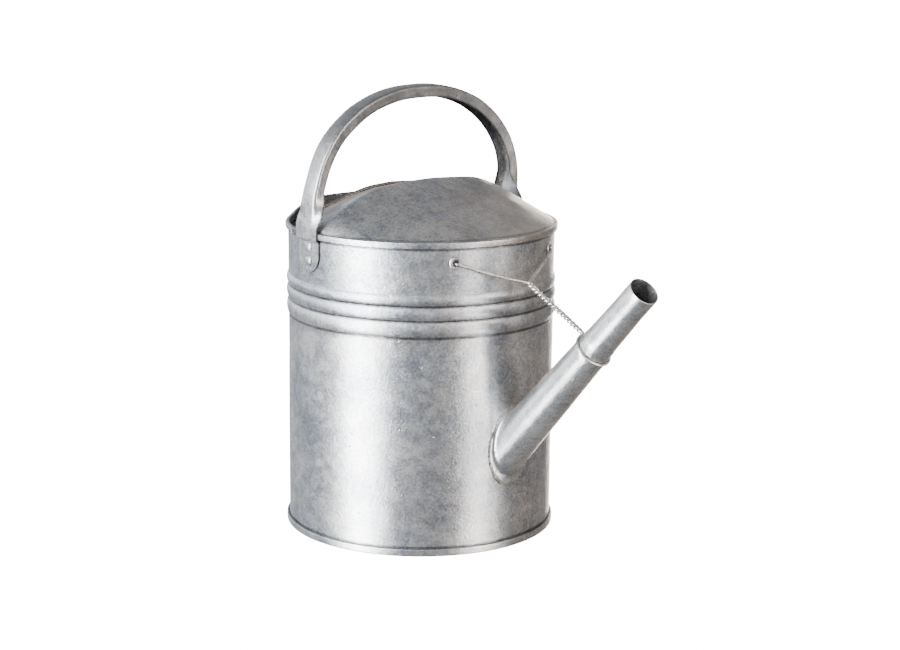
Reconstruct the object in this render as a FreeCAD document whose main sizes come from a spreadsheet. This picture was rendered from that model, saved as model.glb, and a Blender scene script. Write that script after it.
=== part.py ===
import FreeCAD, Part
import Sketcher
import math
import os

# Galvanised sheet-metal watering can with a half hood, an arched strap handle
# and a wired spout.  Millimetres.  +Z up, spout towards +X, handle from side to
# side along Y.  The origin is the centre of the base, on the floor.

LOFT_DEGREE = 5

SIZES = [
    ("body_radius", 110.0, "outside of the cylindrical wall"),
    ("wall", 0.8, "sheet thickness of body, base and hood"),
    ("shell_top", 253.3, "upper edge of the wall under the hood fold"),
    ("base_lift", 5.2, "underside of the raised bottom above the floor"),
    ("base_seam_height", 6.2, "height of the folded seam round the foot"),
    ("seam_proud", 2.2, "how far the foot seam stands outside the wall"),
    ("fold_gap", 0.05, "clearance inside a folded seam"),
    ("bead_low", 178.0, "lower end of the three rolled beads"),
    ("bead_one", 13.3, "height of the lowest bead"),
    ("bead_two", 11.7, "height of the middle bead"),
    ("bead_three", 9.5, "height of the top bead"),
    ("bead_proud", 1.6, "how far a bead swells out of the wall"),
    ("rim_rise", 8.6, "extra height of the rim at the back"),
    ("rim_flat", 10.0, "half angle of the highest part of the back rim"),
    ("rim_fade", 42.0, "half angle where the back rim is level again"),
    ("rim_band", 5.4, "height of the rolled rim"),
    ("rim_proud", 2.3, "how far rim and hood fold stand outside the wall"),
    ("rim_level", 254.4, "top of the hood fold and of the level rim"),
    ("side_seam_proud", 0.7, "how far the lock seam stands outside the wall"),
    ("side_seam", 7.0, "width of the lock seam down the back"),
    ("hood_reach", 110.5, "half angle of the rim that the hood covers"),
    ("crest_x", 6.0, "plane of the hood's crest"),
    ("hem_x", -38.0, "plane of the hood's free edge"),
    ("crest_fall", 0.339, "slope of the hood's front at its middle"),
    ("hem_rise", 25.0, "height of the hood's free edge over the rim"),
    ("hem_wire", 1.9, "radius of the rolled free edge"),
    ("crest_soft", 1.0, "rounding of the crest"),
    ("handle_x", -8.0, "plane of the handle"),
    ("lug_x", -12.0, "plane of the lugs"),
    ("rivet_x", -10.0, "plane of the rivets"),
    ("handle_span", 112.4, "half span of the arch, outer face"),
    ("handle_spring", 270.0, "height where the arch begins"),
    ("handle_top", 364.8, "top of the arch, outer face"),
    ("strap", 1.2, "strap thickness"),
    ("strap_seat", 0.03, "clearance between lug and wall"),
    ("strap_clear", 0.15, "clearance between strap and rim"),
    ("strap_web", 16.4, "width of the strap between its turned edges"),
    ("strap_edge", 7.3, "straight part of a turned edge"),
    ("strap_bend", 2.2, "outer bend radius of a turned edge"),
    ("lug_width", 30.0, "width of the flat lug"),
    ("lug_step", 2.5, "height over which the lug steps outwards below the rim"),
    ("lug_low", 221.5, "lower end of the lug"),
    ("rivet_low", 231.0, "height of the lower rivet"),
    ("rivet_pitch", 11.2, "distance between the two rivets of a lug"),
    ("rivet_head", 4.1, "radius of the rivet head"),
    ("rivet_dome", 1.7, "height of the rivet head"),
    ("rivet_shank", 1.95, "radius of the rivet shank"),
    ("rivet_tail", 3.2, "radius of the upset tail"),
    ("rivet_clear", 0.05, "clearance round the shank"),
    ("eyelet_angle", 27.6, "half angle between the two eyelets"),
    ("eyelet_height", 237.8, "height of the eyelets"),
    ("eyelet_radius", 5.0, "outside of an eyelet"),
    ("eyelet_bore", 2.7, "hole of an eyelet"),
    ("eyelet_sheet", 0.6, "sheet thickness of an eyelet"),
    ("eyelet_proud", 1.3, "how far an eyelet stands out of the wall"),
    ("spout_height", 85.0, "height of the spout axis at the wall"),
    ("spout_rise", 46.8, "slope of the spout in degrees"),
    ("tube_length", 128.0, "lower tube from the wall to its end"),
    ("tube_end", 13.9, "outer radius of the lower tube at its end"),
    ("tube_taper", 0.032, "radius gained per length towards the wall"),
    ("tube_wall", 0.7, "sheet thickness of the spout"),
    ("flange_width", 3.0, "turned flange of the spout on the wall"),
    ("flange_sheet", 0.9, "thickness of that flange"),
    ("solder_width", 2.0, "solder bead outside the flange"),
    ("solder_height", 1.2, "height of the solder bead"),
    ("nozzle_length", 74.8, "nozzle beyond the lower tube"),
    ("nozzle_seat", 12.0, "nozzle pushed into the lower tube"),
    ("nozzle_fit", 0.08, "clearance of the nozzle in the tube"),
    ("nozzle_tip", 12.15, "outer radius of the nozzle at its mouth"),
    ("nozzle_straight", 24.0, "parallel length at the mouth"),
    ("collar_swell", 0.45, "swelling of the nozzle's lower end"),
    ("collar_length", 8.0, "length of that swelling"),
    ("wire_radius", 1.0, "brace wire"),
    ("rope_radius", 1.9, "twisted part of the brace"),
    ("ring_clear", 0.2, "clearance of the wire loop round the nozzle"),
    ("fork_x", 126.3, "place where the two arms meet"),
    ("fork_z", 220.2, "its height"),
    ("hook_length", 7.0, "wire end turned over behind the wall"),
]

V = FreeCAD.Vector
doc = FreeCAD.newDocument("watering_can")
sheet = doc.addObject("Spreadsheet::Sheet", "sizes")
for row, (alias, number, note) in enumerate(SIZES, 1):
    sheet.set("A%d" % row, alias)
    sheet.set("B%d" % row, str(number))
    sheet.set("C%d" % row, note)
    sheet.setAlias("B%d" % row, alias)
doc.recompute()


class Size:
    """A length that carries its number and its spreadsheet expression."""

    def __init__(self, value, text):
        self.value = float(value)
        self.text = text

    def join(self, other, sign):
        if not isinstance(other, Size):
            other = Size(other, repr(float(other)))
        value = {"+": self.value + other.value, "-": self.value - other.value,
                 "*": self.value * other.value}[sign]
        return Size(value, "(%s %s %s)" % (self.text, sign, other.text))

    def __add__(self, other):
        return self.join(other, "+")

    def __sub__(self, other):
        return self.join(other, "-")

    def __mul__(self, other):
        return self.join(other, "*")


def cell(alias):
    return Size(sheet.get(alias), "sizes." + alias)


def num(alias):
    return float(sheet.get(alias))


ZERO = Size(0.0, "0")

# ---------------------------------------------------------------- helpers


def bind(item, prop, length):
    item.setExpression(prop, length.text)


def feature(name, shape):
    item = doc.addObject("Part::Feature", name)
    item.Shape = shape
    item.Label = name
    return item


def boolean(kind, name, base, tool):
    item = doc.addObject("Part::" + kind, name)
    item.Base = base
    item.Tool = tool
    item.Label = name
    return item


def fuse_all(name, items):
    item = doc.addObject("Part::MultiFuse", name)
    item.Shapes = items
    return item


def primitive(kind, name, place=None, **sizes):
    item = doc.addObject("Part::" + kind, name)
    for prop, length in sizes.items():
        bind(item, prop, length)
    if place is not None:
        item.Placement = place
    return item


def outline(body, name, corners, bulges):
    """Closed outline in the body's XZ plane, every corner tied to the sheet.

    bulges maps the number of a side to the radius of its arc, which swells
    away from the axis.
    """
    sketch = body.newObject("Sketcher::SketchObject", name)
    roles = {item.Role: item for item in body.Origin.OriginFeatures}
    sketch.AttachmentSupport = (roles["XZ_Plane"], [""])
    sketch.MapMode = "FlatFace"
    count = len(corners)
    points = [V(x.value, z.value, 0) for x, z in corners]
    for side in range(count):
        start, end = points[side], points[(side + 1) % count]
        if side in bulges:
            half = (end - start).Length / 2
            radius = bulges[side].value
            swell = radius - math.sqrt(radius * radius - half * half)
            middle = V((start.x + end.x) / 2 + swell, (start.y + end.y) / 2, 0)
            sketch.addGeometry(Part.Arc(start, middle, end), False)
        else:
            sketch.addGeometry(Part.LineSegment(start, end), False)
    ends = []
    for side in range(count):
        start = points[side]
        first = sketch.getPoint(side, 1)
        flip = (first - start).Length > 1e-6
        ends.append((2, 1) if flip else (1, 2))
    Constraint = Sketcher.Constraint
    for side in range(count):
        after = (side + 1) % count
        sketch.addConstraint(Constraint("Coincident", side, ends[side][1],
                                        after, ends[after][0]))
    for side, (x, z) in enumerate(corners):
        for kind, length in (("DistanceX", x), ("DistanceY", z)):
            if abs(length.value) < 1e-9:
                on_axis = -2 if kind == "DistanceX" else -1
                sketch.addConstraint(Constraint("PointOnObject", side,
                                                ends[side][0], on_axis))
                continue
            made = sketch.addConstraint(Constraint(kind, -1, 1, side,
                                                   ends[side][0], length.value))
            sketch.setExpression("Constraints[%d]" % made, length.text)
    for side, radius in bulges.items():
        made = sketch.addConstraint(Constraint("Radius", side, radius.value))
        sketch.setExpression("Constraints[%d]" % made, radius.text)
    return sketch


def turned(name, corners, bulges=None, place=None):
    """A body of revolution about Z."""
    body = doc.addObject("PartDesign::Body", name)
    body.Label = name
    sketch = outline(body, name + "_outline", corners, bulges or {})
    spin = body.newObject("PartDesign::Revolution", name + "_turn")
    spin.Profile = sketch
    spin.ReferenceAxis = (sketch, ["V_Axis"])
    spin.Angle = 360.0
    sketch.Visibility = False
    doc.recompute()
    if place is not None:
        body.Placement = place
    return body


def turn_to(point, direction):
    return FreeCAD.Placement(point, FreeCAD.Rotation(V(0, 0, 1), direction))


def fade(x):
    x = min(max(x, 0.0), 1.0)
    return x * x * (3 - 2 * x)


def through(points, closed=False):
    curve = Part.BSplineCurve()
    curve.interpolate(Points=points, PeriodicFlag=closed)
    return curve.toShape()


def on_table(table, x):
    """Smooth (monotone cubic) reading of a short table of (x, value) pairs."""
    x = min(max(x, table[0][0]), table[-1][0])
    slopes = []
    steps = [(b[1] - a[1]) / (b[0] - a[0]) for a, b in zip(table, table[1:])]
    for k in range(len(table)):
        left = steps[max(k - 1, 0)]
        right = steps[min(k, len(steps) - 1)]
        slopes.append(0.0 if left * right <= 0 else
                      2 * left * right / (left + right))
    for k, (a, b) in enumerate(zip(table, table[1:])):
        if x <= b[0]:
            span = b[0] - a[0]
            u = (x - a[0]) / span
            return (a[1] * (1 + 2 * u) * (1 - u) ** 2 + b[1] * u * u * (3 - 2 * u)
                    + span * u * (1 - u) * (slopes[k] * (1 - u)
                                            - slopes[k + 1] * u))
    return table[-1][1]


# ---------------------------------------------------------------- foot


def make_base():
    """Raised bottom whose edge is folded round the foot of the wall."""
    outer = cell("body_radius") + cell("seam_proud")
    hook = cell("body_radius") + cell("fold_gap")
    inner = cell("body_radius") - cell("wall") - 1.2
    lift = cell("base_lift")
    foot = cell("wall") + 0.2
    soft = cell("wall") * 0.8
    corners = [
        (ZERO, lift), (inner - cell("wall"), lift), (inner - cell("wall"), ZERO),
        (outer - soft, ZERO), (outer, soft),
        (outer, cell("base_seam_height") - soft),
        (outer - soft, cell("base_seam_height")),
        (hook, cell("base_seam_height")), (hook, foot), (inner, foot),
        (inner, lift + cell("wall")), (ZERO, lift + cell("wall")),
    ]
    return turned("base_disc", corners)


# ---------------------------------------------------------------- wall and rim


def rim_height(angle):
    """Top of the rim at an angle (degrees) from the spout."""
    back = abs(180.0 - angle % 360.0)
    fades = num("rim_fade")
    rise = 1.0 - fade((back - num("rim_flat")) / (fades - num("rim_flat")))
    front = num("shell_top")
    level = num("rim_level")
    side = 180.0 - back
    covered = num("hood_reach")
    return front + (level - front) * fade((side - covered) / 3.0) \
        + num("rim_rise") * rise


def ribbon(inside, outside, drop):
    """Strip between two radii round the back that follows the rim's height."""
    edges = []
    spread = 184 - int(num("hood_reach"))
    for radius in (inside, outside):
        points = []
        for step in range(-spread, spread + 1, 2):
            turn = math.radians(180 + step)
            points.append(V(radius * math.cos(turn), radius * math.sin(turn),
                            rim_height(180 + step) - drop))
        edges.append(through(points))
    return Part.makeRuledSurface(edges[0], edges[1])


def beaded(name, outer, inner, foot, top):
    """Sleeve with the three rolled beads, level at both ends."""
    levels = [cell("bead_low")]
    for alias in ("bead_one", "bead_two", "bead_three"):
        levels.append(levels[-1] + cell(alias))
    proud = num("bead_proud")
    radii = []
    for alias in ("bead_one", "bead_two", "bead_three"):
        half = num(alias) / 2
        value = (half * half + proud * proud) / (2 * proud)
        text = ("((sizes.%s / 2) ^ 2 + sizes.bead_proud ^ 2)"
                " / (2 * sizes.bead_proud)") % alias
        radii.append(Size(value, text))
    corners = [(outer, foot)] + [(outer, level) for level in levels]
    corners += [(outer, top), (inner, top)]
    corners += [(inner, level) for level in reversed(levels)]
    corners += [(inner, foot)]
    bulges = {1: radii[0], 2: radii[1], 3: radii[2],
              7: radii[2], 8: radii[1], 9: radii[0]}
    return turned(name, corners, bulges)


def make_side_seam():
    """Lock seam down the back: a narrow strip that follows the beads."""
    outer = cell("body_radius") + cell("side_seam_proud")
    wrap = beaded("seam_wrap", outer, cell("body_radius") - 0.3,
                  cell("base_seam_height") + 1.0, cell("shell_top") - 6.8)
    strip = primitive("Box", "seam_strip", None, Length=cell("body_radius") + 5,
                      Width=cell("side_seam"), Height=cell("shell_top") + 5)
    strip.Placement = FreeCAD.Placement(
        V(-num("body_radius") - 5, -num("side_seam") / 2, 0), FreeCAD.Rotation())
    return boolean("Common", "side_seam_strip", wrap, strip)


def back_sector(radius, low, high, half_angle):
    """Pie-shaped solid about the -X direction."""
    turn = FreeCAD.Placement(V(0, 0, low),
                             FreeCAD.Rotation(V(0, 0, 1), 180.0 - half_angle))
    pie = Part.makeCylinder(radius, high - low, V(0, 0, 0), V(0, 0, 1),
                            2 * half_angle)
    pie.Placement = turn
    return pie


def make_rim():
    """Back of the wall above the level edge, with its rolled rim."""
    wall_out = num("body_radius")
    outer = wall_out + num("rim_proud")
    inner = wall_out - num("wall")
    low = num("rim_level") - 2 * num("rim_band")
    high = num("rim_level") + num("rim_rise") + 2.0
    hollow = Part.makeCylinder(inner, high - low, V(0, 0, low))
    roll = Part.makeCylinder(outer, high - low, V(0, 0, low)).cut(hollow)
    skin = Part.makeCylinder(wall_out, high - low, V(0, 0, low)).cut(hollow)
    above = ribbon(inner - 6, outer + 6, 0.0).extrude(V(0, 0, 40))
    below = ribbon(inner - 6, outer + 6, num("rim_band")).extrude(V(0, 0, -40))
    sector = back_sector(outer + 5, low - 5, high + 5,
                         180.0 - num("hood_reach") - 0.3)
    roll = roll.common(sector).cut(above).cut(below)
    skin = skin.common(sector).cut(above)
    long_edges = [edge for edge in roll.Edges if edge.Length > 100.0
                  and all(math.hypot(v.X, v.Y) > outer - 0.01
                          for v in edge.Vertexes)]
    roll = roll.makeFillet(0.4 * num("rim_proud"), long_edges)
    return roll.fuse(skin)


def hole_tools():
    """Eyelet and rivet holes, and the opening behind the spout."""
    tools = []
    reach = cell("body_radius") + 20.0
    for side in (-1, 1):
        turn = math.radians(side * num("eyelet_angle"))
        place = turn_to(V(0, 0, num("eyelet_height")),
                        V(math.cos(turn), math.sin(turn), 0))
        tools.append(primitive("Cylinder", "eyelet_hole", place,
                               Radius=cell("eyelet_bore") + cell("eyelet_sheet")
                               + cell("rivet_clear"), Height=reach))
        for place in rivet_places(side):
            tools.append(primitive("Cylinder", "rivet_hole", place,
                                   Radius=cell("rivet_shank")
                                   + cell("rivet_clear"), Height=reach))
    return tools


def make_shell(spout_bore):
    outer = cell("body_radius")
    wall = beaded("wall_blank", outer, outer - cell("wall"),
                  cell("wall") + 0.25, cell("shell_top"))
    rim = feature("rolled_rim", make_rim())
    seam = make_side_seam()
    whole = fuse_all("wall_with_rim", [wall, rim, seam])
    tools = fuse_all("wall_holes", hole_tools() + [spout_bore])
    return boolean("Cut", "body_shell", whole, tools)


# ---------------------------------------------------------------- hood

# slope of the hood's front, as a share of crest_fall, against |y| / radius
FALL = [(0.0, 1.0), (0.3, 1.013), (0.5, 1.06), (0.6, 1.03), (0.7, 0.99),
        (0.83, 0.91), (0.93, 0.87), (1.0, 0.74)]
# height of the free edge, as a share of hem_rise, against |y| / half width
HEM = [(0.0, 1.0), (0.2, 0.95), (0.39, 0.81), (0.49, 0.70), (0.62, 0.552),
       (0.73, 0.452), (0.86, 0.30), (1.0, 0.0)]


def hood_height(x, share):
    """Height over the hood's edge at x, at a share of the half width there."""
    radius = num("body_radius") - num("wall") + 0.1
    crest = num("crest_x")
    hem = num("hem_x")
    half = math.sqrt(radius * radius - x * x)

    def front(at_x, y):
        reach = math.sqrt(max(radius * radius - y * y, 0.0))
        fall = num("crest_fall") * on_table(FALL, min(abs(y) / radius, 1.0))
        return fall * (reach - at_x)

    crest_half = math.sqrt(radius * radius - crest * crest)
    ahead = front(x, share * half)
    edge = num("hem_rise") * on_table(HEM, abs(share))
    ridge = front(crest, share * crest_half)
    behind = ridge + (edge - ridge) * (crest - x) / (crest - hem)
    soft = num("crest_soft") * min(1.0, ridge / 10.0)
    middle = (ahead + behind) / 2
    return middle - math.sqrt(((ahead - behind) / 2) ** 2 + soft * soft) + soft * 0.6


def make_hood():
    """Half hood: a bent sheet folded over the wall, with a rolled free edge."""
    radius = num("body_radius") - num("wall") + 0.1
    thick = num("wall")
    edge_top = num("rim_level") - 0.15
    crest = num("crest_x")
    hem = num("hem_x")
    stations = [hem + (crest - hem) * k / 7 for k in range(8)]
    stations += [crest + 4, crest + 9, crest + 16]
    first = math.asin((crest + 26) / radius)
    last = math.asin(1 - 0.8 / radius)
    stations += [radius * math.sin(first + (last - first) * k / 11)
                 for k in range(12)]
    rows = []
    for x in stations:
        half = math.sqrt(radius * radius - x * x)
        row = []
        for step in range(-14, 15):
            share = math.sin(math.radians(90.0 * step / 14))
            row.append(V(x, share * half, edge_top + hood_height(x, share)))
        rows.append(row)
    surface = Part.BSplineSurface()
    surface.interpolate(rows)
    skin = surface.toShape().extrude(V(0, 0, -thick))

    reach = num("hood_reach")
    outside = num("body_radius") + num("rim_proud")
    inside = num("body_radius") + num("fold_gap")
    low = num("rim_level") - num("rim_band")
    lip = num("shell_top") + num("fold_gap")
    corners = [(radius - 0.8, lip), (inside, lip), (inside, low), (outside, low),
               (outside, num("rim_level")), (radius - 0.8, num("rim_level"))]
    points = [V(x, 0, z) for x, z in corners]
    section = Part.Face(Part.makePolygon(points + points[:1]))
    fold = section.revolve(V(0, 0, 0), V(0, 0, 1), 2 * reach)
    fold.rotate(V(0, 0, 0), V(0, 0, 1), -reach)
    long_edges = [edge for edge in fold.Edges
                  if isinstance(edge.Curve, Part.Circle)
                  and abs(edge.Curve.Radius - outside) < 0.01]
    fold = fold.makeFillet(0.4 * num("rim_proud"), long_edges)

    wire = num("hem_wire")
    half = math.sqrt(radius * radius - hem * hem)
    stop = half - 1.3 * wire
    lines = []
    for offset in (1.2 * wire, -0.8 * wire):
        lines.append([V(hem - wire, stop * k / 10.0, edge_top + offset
                        + hood_height(hem, stop * k / 10.0 / half))
                      for k in range(-10, 11)])
    top, bottom = lines
    profile = Part.Wire([through(top), Part.makeLine(top[-1], bottom[-1]),
                         through(bottom), Part.makeLine(bottom[0], top[0])])
    roll = Part.Face(profile).extrude(V(2 * wire, 0, 0))
    long_edges = [edge for edge in roll.Edges if edge.Length > half]
    roll = roll.makeFillet(0.7 * wire, long_edges)
    return feature("hood", skin.fuse([fold, roll]))


# ---------------------------------------------------------------- handle


def arch_point(turn):
    """Outer face of the arch: a slightly squared ellipse; turn from 0 to 180."""
    power = 2.0 / 2.15
    c = math.cos(math.radians(turn))
    s = math.sin(math.radians(turn))
    y = -num("handle_span") * math.copysign(abs(c) ** power, c)
    rise = num("handle_top") - num("handle_spring")
    return (y, num("handle_spring") + rise * abs(s) ** power)


def strap_path():
    """Stations over the arch, outer face: (y, z, lug share, turned share)."""
    off = num("lug_x")
    over = math.sqrt(strap_radius() ** 2 - off * off)
    spring = num("handle_spring")
    start = strap_start()
    legs = [(over, start), (over - 0.15, start + 0.45 * (spring - start)),
            (over - 0.6, start + 0.85 * (spring - start))]
    turns = [7, 15, 23, 31, 39, 48, 57, 66, 74, 82, 90]
    turns += [180 - turn for turn in reversed(turns[:-1])]
    points = [(-y, z) for y, z in legs]
    points += [arch_point(turn) for turn in turns]
    points += [(y, z) for y, z in reversed(legs)]
    stations = []
    for y, z in points:
        lug = 1.0 - fade((z - start) / 22.0)
        turned_in = fade((z - start - 6.0) / 52.0)
        stations.append((y, z, lug, turned_in))
    return stations


def strap_start():
    """Height where the lugs end and the arch begins."""
    return num("rim_level") + 1.6


def strap_radius():
    """Outer face of the strap where it passes the rim."""
    return (num("body_radius") + num("rim_proud") + num("strap_clear")
            + num("strap"))


def make_lugs():
    """Both lugs: plates round the wall, set outwards to pass over the rim."""
    seat = num("body_radius") + num("strap_seat")
    over = strap_radius() - num("strap")
    thick = num("strap")
    band = num("rim_level") - num("rim_band")
    low = num("lug_low")
    line = [(seat, low), (seat, band - 0.1 - num("lug_step")), (over, band - 0.1),
            (over, strap_start())]
    corners = line + [(r + thick, z) for r, z in reversed(line)]
    points = [V(r, 0, z) for r, z in corners]
    section = Part.Face(Part.makePolygon(points + points[:1]))
    sleeve = section.revolve(V(0, 0, 0), V(0, 0, 1), 360)
    half = num("lug_width") / 2
    centre = num("lug_x")
    depth = 2 * strap_radius() + 20
    start = -depth / 2
    keep = Part.makeBox(2 * half, depth, strap_start() - low - half,
                        V(centre - half, start, low + half))
    end = Part.makeCylinder(half, depth, V(centre, start, low + half),
                            V(0, 1, 0))
    return sleeve.common(keep.fuse(end))


def strap_section(station, normal):
    """Closed wire across the strap: a plate whose edges turn in to a channel."""
    y0, z0, lug, share = station
    thick = num("strap")
    bend = num("strap_bend")
    angle = math.radians(96.0) * share
    flat = num("strap_web") / 2 - bend
    corner = bend * math.pi / 2
    lug_edge = num("lug_width") / 2 - flat - corner
    edge = lug_edge + (num("strap_edge") - lug_edge) * share
    crown = 0.5 * share

    def half_line(depth):
        """(across, inward) points from the middle to the tip of one edge."""
        points = []
        for k in range(4):
            across = flat * k / 3
            points.append((across, depth - crown * (1 - (across / flat) ** 2)))
        for k in range(1, 4):
            a = angle * k / 3
            if angle < 0.02:
                points.append((flat + corner * k / 3, depth))
                continue
            radius = corner / angle
            points.append((flat + (radius - depth) * math.sin(a),
                           radius - (radius - depth) * math.cos(a)))
        tip = points[-1]
        for k in range(1, 4):
            run = edge * k / 3
            points.append((tip[0] + run * math.cos(angle),
                           tip[1] + run * math.sin(angle)))
        return points

    lean = 1.0 - fade((z0 - strap_start()) / 48.0)
    centre = num("handle_x") + (num("lug_x") - num("handle_x")) * lean

    def place(across, inward):
        x = centre + across
        radius = strap_radius()
        level = math.sqrt(radius ** 2 - num("lug_x") ** 2)
        wrapped = level - math.sqrt((radius - inward) ** 2 - x * x)
        inward = inward + lug * (wrapped - inward)
        return V(x, y0 + normal[0] * inward, z0 + normal[1] * inward)

    lines = []
    for depth in (0.0, thick):
        half = half_line(depth)
        points = [place(-a, i) for a, i in reversed(half[1:])]
        points += [place(a, i) for a, i in half]
        lines.append(points)
    outer = through(lines[0])
    inner = through(lines[1])
    first = Part.makeLine(lines[0][-1], lines[1][-1])
    second = Part.makeLine(lines[1][0], lines[0][0])
    return Part.Wire([outer, first, inner, second])


def make_handle():
    """One strap: flat round lugs on the wall, edges turned in over the arch."""
    stations = strap_path()
    wires = []
    for k, station in enumerate(stations):
        before = stations[max(k - 1, 0)]
        after = stations[min(k + 1, len(stations) - 1)]
        dy = after[0] - before[0]
        dz = after[1] - before[1]
        if k in (0, len(stations) - 1):
            dy = 0.0
        length = math.hypot(dy, dz)
        wires.append(strap_section(station, (dz / length, -dy / length)))
    strap = Part.makeLoft(wires, True, False, False, LOFT_DEGREE)
    strap = strap.fuse(make_lugs())
    radius = num("rivet_shank") + num("rivet_clear")
    for side in (-1, 1):
        for place in rivet_places(side):
            hole = Part.makeCylinder(radius, num("body_radius") + 20)
            hole.Placement = place
            strap = strap.cut(hole)
    return feature("handle", strap)


# ---------------------------------------------------------------- rivets, eyelets


def rivet_places(side):
    """Axis of each rivet: through the lug, square to the wall."""
    angle = math.acos(num("rivet_x") / num("body_radius"))
    direction = V(math.cos(angle), side * math.sin(angle), 0)
    return [turn_to(V(0, 0, num("rivet_low") + k * num("rivet_pitch")), direction)
            for k in (0, 1)]


def make_rivets():
    """Domed head on the lug, shank through lug and wall, upset tail inside."""
    seat = cell("body_radius") + cell("strap_seat") + cell("strap")
    back = cell("body_radius") - cell("wall") - 0.06
    head = cell("rivet_head")
    shank = cell("rivet_shank")
    tail = cell("rivet_tail")
    top = seat + cell("rivet_dome")
    corners = [
        (ZERO, back - 1.1), (tail, back - 1.1), (tail, back), (shank, back),
        (shank, seat), (head, seat), (head, seat + 0.5),
        (head * 0.86, seat + cell("rivet_dome") * 0.62),
        (head * 0.5, seat + cell("rivet_dome") * 0.93), (ZERO, top),
    ]
    made = []
    names = {-1: "near", 1: "far"}
    for side in (-1, 1):
        for place, level in zip(rivet_places(side), ("low", "high")):
            made.append(turned("rivet_%s_%s" % (names[side], level), corners,
                               place=place))
    return made


def make_eyelets():
    """Rolled ring in the wall on each side of the spout."""
    outer = cell("body_radius")
    bore = cell("eyelet_bore")
    skin = cell("eyelet_sheet")
    wide = cell("eyelet_radius")
    front = outer + cell("eyelet_proud")
    back = outer - cell("wall")
    corners = [
        (bore, back - skin), (wide * 0.9, back - skin), (wide * 0.9, back - 0.1),
        (bore + skin, back - 0.1), (bore + skin, outer + 0.1),
        (wide, outer + 0.1), (wide, front - 0.4), (wide - 0.5, front),
        (bore + 0.5, front), (bore, front - 0.4),
    ]
    made = []
    for side, name in ((-1, "eyelet_near"), (1, "eyelet_far")):
        turn = math.radians(side * num("eyelet_angle"))
        place = turn_to(V(0, 0, num("eyelet_height")),
                        V(math.cos(turn), math.sin(turn), 0))
        made.append(turned(name, corners, place=place))
    return made


# ---------------------------------------------------------------- spout


def spout_frame():
    """Point where the spout's axis meets the wall, and the axis."""
    rise = math.radians(num("spout_rise"))
    joint = V(num("body_radius"), 0, num("spout_height"))
    return joint, V(math.cos(rise), 0, math.sin(rise))


def spout_cone(name, grow, start, end):
    """Cone about the spout's axis, grow outside the lower tube's surface."""
    joint, axis = spout_frame()
    place = turn_to(joint + axis * start.value, axis)
    wide = cell("tube_end") + grow + cell("tube_taper") * (cell("tube_length")
                                                           - start)
    slim = cell("tube_end") + grow + cell("tube_taper") * (cell("tube_length")
                                                           - end)
    return primitive("Cone", name, place, Radius1=wide, Radius2=slim,
                     Height=end - start)


def wall_plate(name, height):
    """Sleeve of the given height on the outside of the body wall."""
    skin = primitive("Cylinder", name + "_skin", None, Height=cell("bead_low"),
                     Radius=cell("body_radius") + height)
    core = primitive("Cylinder", name + "_core", None, Height=cell("bead_low"),
                     Radius=cell("body_radius"))
    return boolean("Cut", name + "_sleeve", skin, core)


def make_spout():
    inside = Size(-60.0, "-60")
    end = cell("tube_length")
    bore = spout_cone("tube_bore", ZERO - cell("tube_wall"), inside - 5.0,
                      end + 5.0)
    outer = spout_cone("tube_outer", ZERO, inside, end)
    core = primitive("Cylinder", "body_core", None, Radius=cell("body_radius"),
                     Height=cell("bead_low"))
    stub = boolean("Cut", "tube_stub", outer, core)
    reach = spout_cone("flange_reach", cell("flange_width"), inside, end)
    flange = boolean("Common", "flange", wall_plate("flange",
                                                    cell("flange_sheet")), reach)
    both = boolean("Fuse", "tube_and_flange", stub, flange)
    tube = boolean("Cut", "spout_tube", both, bore)

    wide = spout_cone("solder_reach", cell("flange_width")
                      + cell("solder_width"), inside, end)
    band = boolean("Common", "solder_band",
                   wall_plate("solder", cell("solder_height")), wide)
    inner = spout_cone("solder_inner", cell("flange_width"), inside - 5.0, end)
    solder = boolean("Cut", "spout_solder", band, inner)
    return tube, solder, bore


def make_nozzle():
    """Upper sleeve, pushed into the lower tube and swollen above its end."""
    joint, axis = spout_frame()
    skin = cell("tube_wall")
    foot = cell("tube_length") - cell("nozzle_seat")
    end = cell("tube_length")
    plug = cell("tube_end") - skin - cell("nozzle_fit")
    tip = cell("nozzle_tip")
    mouth = end + cell("nozzle_length")
    swell = plug + cell("collar_swell")
    corners = [
        (plug, foot), (plug, end + 1.6), (swell, end + 3.2),
        (swell, end + 3.2 + cell("collar_length")),
        (plug + 0.1, end + 5.2 + cell("collar_length")),
        (tip, mouth - cell("nozzle_straight")), (tip, mouth),
        (tip - skin, mouth), (tip - skin, mouth - cell("nozzle_straight")),
        (plug + 0.1 - skin, end + 5.2 + cell("collar_length")),
        (plug - skin, end + 1.6), (plug - skin, foot),
    ]
    return turned("spout_nozzle", corners, place=turn_to(joint, axis))


# ---------------------------------------------------------------- brace


def rod(start, end, radius):
    run = end - start
    return Part.makeCylinder(radius, run.Length, start, run)


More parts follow.
